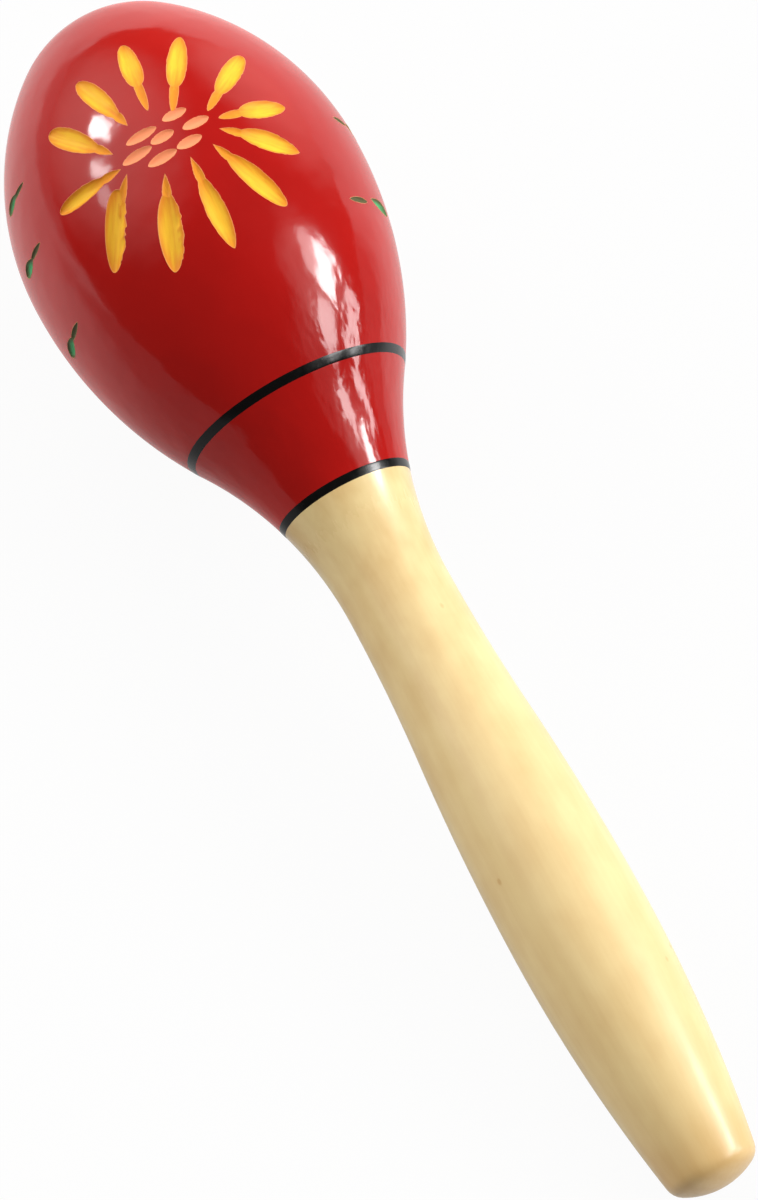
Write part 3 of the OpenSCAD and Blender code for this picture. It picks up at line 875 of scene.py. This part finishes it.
class MARACA_OT_handle(bpy.types.Operator):
    """Turn the bare handle with its tenon"""
    bl_idname = "maraca.handle"
    bl_label = "Handle"

    def execute(self, context):
        z, colours, stage, form = settings(context)
        low = form.seam_low
        groove = radius_at(form, low) - z.ring_depth
        tenon = z.tenon_d / 2
        end = form.floor - z.tenon_relief
        corners = [(groove, low - z.ring_w / 2), (groove, low), (tenon, low), (tenon, end), (0, end)]
        section = run(form, 0, low - z.ring_w / 2, stage.row) + chain(corners, 2 * stage.row)
        handle = turn_section("handle_varnished", form, section, stage.segments)
        paint_faces(handle, [turned_wood("varnished_wood", colours, form, HANDLE_VARNISH)])
        finish_piece(handle, "varnished_wood", "handle")
        return {"FINISHED"}


class MARACA_OT_rings(bpy.types.Operator):
    """Lay the two black rings of enamel in their grooves"""
    bl_idname = "maraca.rings"
    bl_label = "Rings"

    def execute(self, context):
        z, colours, stage, form = settings(context)
        enamel = black_enamel(colours)
        half = z.ring_w / 2
        for node, seam in (("ring_lower", form.seam_low), ("ring_upper", form.seam_up)):
            floor = radius_at(form, seam) - z.ring_depth
            section = [(floor, seam - half)]
            for k in range(RING_STEPS + 1):
                across = 2 * k / RING_STEPS - 1
                s = seam + across * half
                section.append((radius_at(form, s) + z.ring_crown * (1 - across ** RING_FLATNESS), s))
            section += [(floor, seam + half), section[0]]
            ring = turn_section(node + "_enamel", form, section, stage.segments)
            paint_faces(ring, [enamel])
            finish_piece(ring, "black_enamel", node)
        return {"FINISHED"}


class MARACA_OT_pellets(bpy.types.Operator):
    """Give the loose pellets their steel"""
    bl_idname = "maraca.pellets"
    bl_label = "Pellets"

    def execute(self, context):
        steel = steel_shot(context.scene.maraca_colours)
        for name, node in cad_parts.items():
            if name.startswith("pellet_"):
                node.data.materials.clear()
                node.data.materials.append(steel)
        return {"FINISHED"}


# Windows of the room: azimuth, elevation, width and height in degrees from the maraca, and brightness
WINDOWS = (
    ("window_right", 160, 28, 12.5, 13, 24.0),
    ("window_right_top", 162, 38.5, 10, 7, 6.0),
    ("window_right_side", 140, 31, 14, 12, 9.5),
    ("window_right_lower", 154, 11.5, 16, 8.5, 10.0),
    ("window_left", -60, 33.5, 9.5, 10.5, 24.0),
    ("window_left_low", -40, 35, 6, 10, 12.0),
    ("window_left_edge", -27, 35, 8, 7, 4.5),
)
# Distance of the windows in metres
WINDOW_AWAY = 2.5
# Soft glows of the room: azimuth and elevation, how far they reach in degrees, and brightness
GLOWS = ((-58, 38, 50, 1.25), (150, 38, 22, 1.3), (126, 36, 17, 0.4), (-147, 12, 32, 1.1))
WALLS = 0.05
ROOM_TINT = "FFF8F2"
# Soft light from the ceiling: azimuth, elevation and width in degrees, and strength
CEILING_WAY = (215, 42)
CEILING_WIDTH = 100
CEILING_STRENGTH = 1.8
TABLE_SIZE = 24
CLIP_START = 10 * MM


def heading(azimuth, elevation):
    """Direction from the maraca toward an azimuth and elevation in degrees."""
    a, e = math.radians(azimuth), math.radians(elevation)
    return Vector((math.sin(a) * math.cos(e), -math.cos(a) * math.cos(e), math.sin(e)))


class MARACA_OT_stage(bpy.types.Operator):
    """Set the table, the lights and the camera"""
    bl_idname = "maraca.stage"
    bl_label = "Stage"

    def execute(self, context):
        scene = context.scene
        _, colours, stage, form = settings(context)
        scene.view_settings.view_transform = "Standard"
        middle = lay(form, 0, 0, form.total / 2)
        start_piece()
        bpy.ops.mesh.primitive_plane_add(size=TABLE_SIZE, location=(0, 0, 0))
        table = context.object
        table.name = "table"
        table.data.materials.append(white_table(colours))
        self.light_room(scene, middle)
        self.place_camera(context, stage, middle)
        return {"FINISHED"}

    def light_room(self, scene, middle):
        """Dim room, soft light from above and bright windows, turned toward the maraca."""
        scene.world = scene.world or bpy.data.worlds.new("room")
        scene.world.use_nodes = True
        scene.world.node_tree.nodes.clear()
        self.fill_room(scene.world)
        way = heading(*CEILING_WAY)
        bpy.ops.object.light_add(type="SUN", location=middle + way)
        key = bpy.context.object
        key.name = "ceiling_glow"
        key.rotation_euler = facing(way)
        key.data.energy = CEILING_STRENGTH
        key.data.angle = math.radians(CEILING_WIDTH)
        key.visible_glossy = False
        for name, azimuth, elevation, width, height, brightness in WINDOWS:
            way = heading(azimuth, elevation)
            bpy.ops.object.light_add(type="AREA", location=middle + way * WINDOW_AWAY)
            lamp = bpy.context.object
            lamp.name = name
            lamp.rotation_euler = facing(way)
            lamp.data.shape = "RECTANGLE"
            lamp.data.size = 2 * WINDOW_AWAY * math.tan(math.radians(width / 2))
            lamp.data.size_y = 2 * WINDOW_AWAY * math.tan(math.radians(height / 2))
            lamp.data.energy = brightness * math.pi * lamp.data.size * lamp.data.size_y

    def fill_room(self, world):
        """Dim walls, and soft glows round the windows and over the far side of the table."""
        node = partial(add_node, world)
        way = node("TexCoord").outputs["Generated"]
        total = WALLS
        for azimuth, elevation, reach, brightness in GLOWS:
            toward = node("VectorMath", {0: way, 1: heading(azimuth, elevation)}, operation="DOT_PRODUCT")
            edge = math.cos(math.radians(reach))
            glow = node("MapRange", {0: toward.outputs["Value"], 1: edge, 2: 1.0, 3: 0.0, 4: brightness},
                        interpolation_type="SMOOTHSTEP")
            total = node("Math", {0: total, 1: glow}, operation="ADD")
        room = node("Background", {"Color": linear(ROOM_TINT), "Strength": total})
        node("OutputWorld", {"Surface": room})

    def place_camera(self, context, stage, middle):
        """Camera at the photograph's viewing angle."""
        back = heading(math.degrees(stage.azimuth), math.degrees(stage.elevation))
        right = Vector((math.cos(stage.azimuth), math.sin(stage.azimuth), 0))
        up = back.cross(right)
        target = middle - stage.aside * right - stage.above * up
        bpy.ops.object.camera_add(location=target + stage.distance * back)
        camera = context.object
        camera.rotation_euler = facing(back)
        camera.data.lens = stage.lens
        camera.data.clip_start = CLIP_START
        context.scene.camera = camera


class MARACA_PT_pieces(bpy.types.Panel):
    """Pieces of the maraca, in the order that they are made"""
    bl_idname = "MARACA_PT_pieces"
    bl_label = "Wooden Maraca"
    bl_space_type = "VIEW_3D"
    bl_region_type = "UI"
    bl_category = "Maraca"

    def draw(self, context):
        for operator in OPERATORS:
            self.layout.operator(operator.bl_idname)


GROUPS = {"maraca_sizes": MaracaSizes, "maraca_colours": MaracaColours, "maraca_stage": MaracaStage}
OPERATORS = (
    MARACA_OT_head, MARACA_OT_collar, MARACA_OT_handle, MARACA_OT_rings, MARACA_OT_pellets, MARACA_OT_stage,
)


def register():
    for cls in (*GROUPS.values(), *OPERATORS, MARACA_PT_pieces):
        bpy.utils.register_class(cls)
    for name, group in GROUPS.items():
        setattr(bpy.types.Scene, name, PointerProperty(type=group))


def unregister():
    for name in GROUPS:
        delattr(bpy.types.Scene, name)
    for cls in reversed((*GROUPS.values(), *OPERATORS, MARACA_PT_pieces)):
        bpy.utils.unregister_class(cls)


def main():
    register()
    bpy.ops.maraca.head()
    bpy.ops.maraca.collar()
    bpy.ops.maraca.handle()
    bpy.ops.maraca.rings()
    bpy.ops.maraca.pellets()
    bpy.ops.maraca.stage()


if __name__ == "__main__":
    main()
